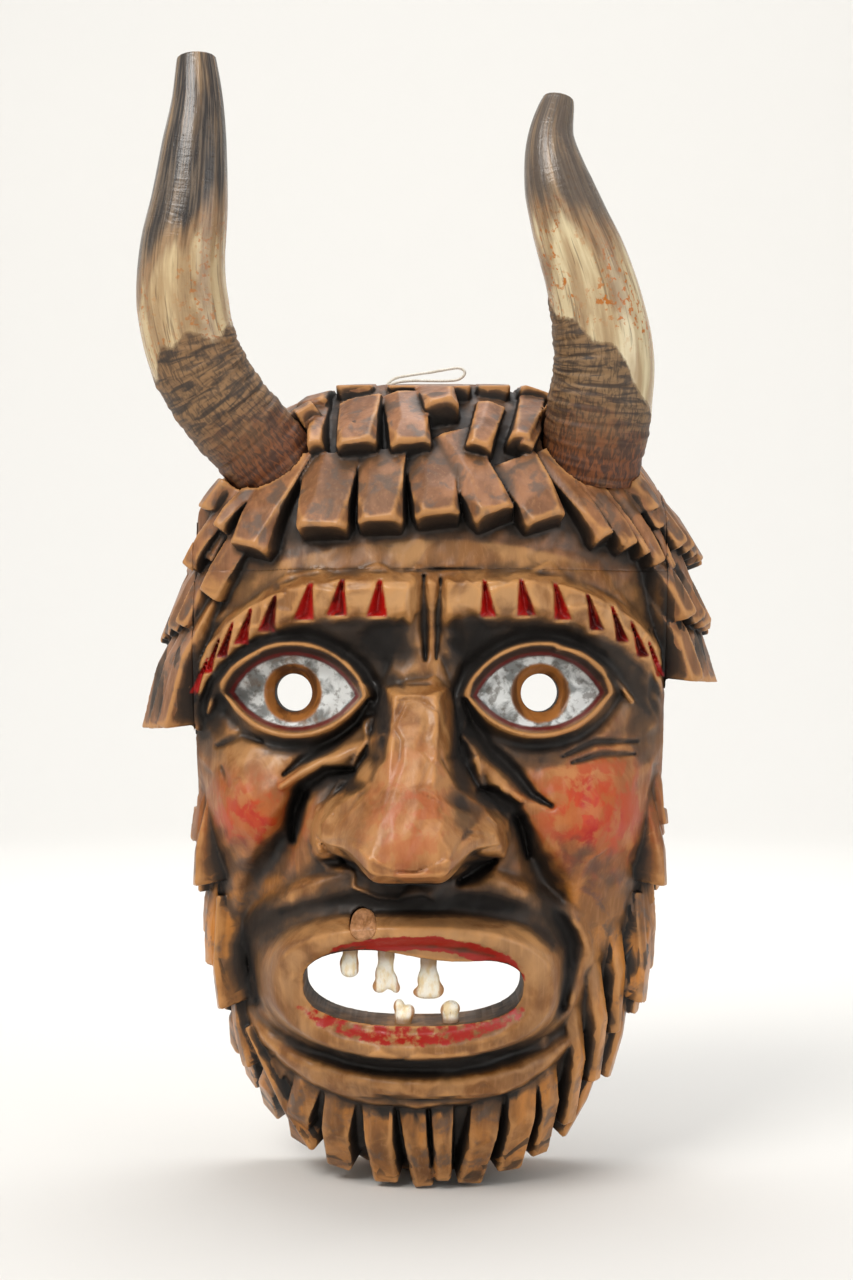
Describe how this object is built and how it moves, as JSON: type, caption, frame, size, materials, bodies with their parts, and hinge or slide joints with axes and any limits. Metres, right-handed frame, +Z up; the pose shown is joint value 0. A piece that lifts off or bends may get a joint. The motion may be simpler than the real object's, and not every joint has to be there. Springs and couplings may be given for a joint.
{
  "type": "horned devil mask",
  "caption": "Carved wooden face mask with real horns and teeth, open pupils and mouth, hollow behind and hung on a wall by a short cord.",
  "frame": {"origin": "on the flat sawn back, midway between the hair's top and the beard's tip, centred on the width", "axes": "+Z up the mask towards the horns, +Y out of the flat back into the wall, so the face looks along -Y"},
  "size_m": [0.4012, 0.1951, 0.7415],
  "materials": {
    "carved_wood": "stained and waxed, chisel-cut",
    "hair_wood": "dark stain, chisel-cut",
    "plain_wood": "bare",
    "horn": "natural horn, part polished",
    "tooth": "natural enamel",
    "steel": "zinc plated",
    "cord": "twisted white twine"
  },
  "bodies": {
    "root": {"face_block": "carved_wood", "crown_block": "hair_wood", "hair_wing_left": "hair_wood", "hair_wing_right": "hair_wood", "crown_dowels": "plain_wood", "wing_dowels": "plain_wood", "horn_left": "horn", "horn_right": "horn", "horn_core_left": "plain_wood", "horn_core_right": "plain_wood", "horn_screws": "steel", "horn_washers": "steel", "tooth_upper_left": "tooth", "tooth_upper_middle": "tooth", "tooth_upper_right": "tooth", "tooth_lower_left": "tooth", "tooth_lower_right": "tooth", "lip_plug": "carved_wood", "hanger_screw_eye": "steel", "hanging_cord": "cord"}
  },
  "joints": []
}
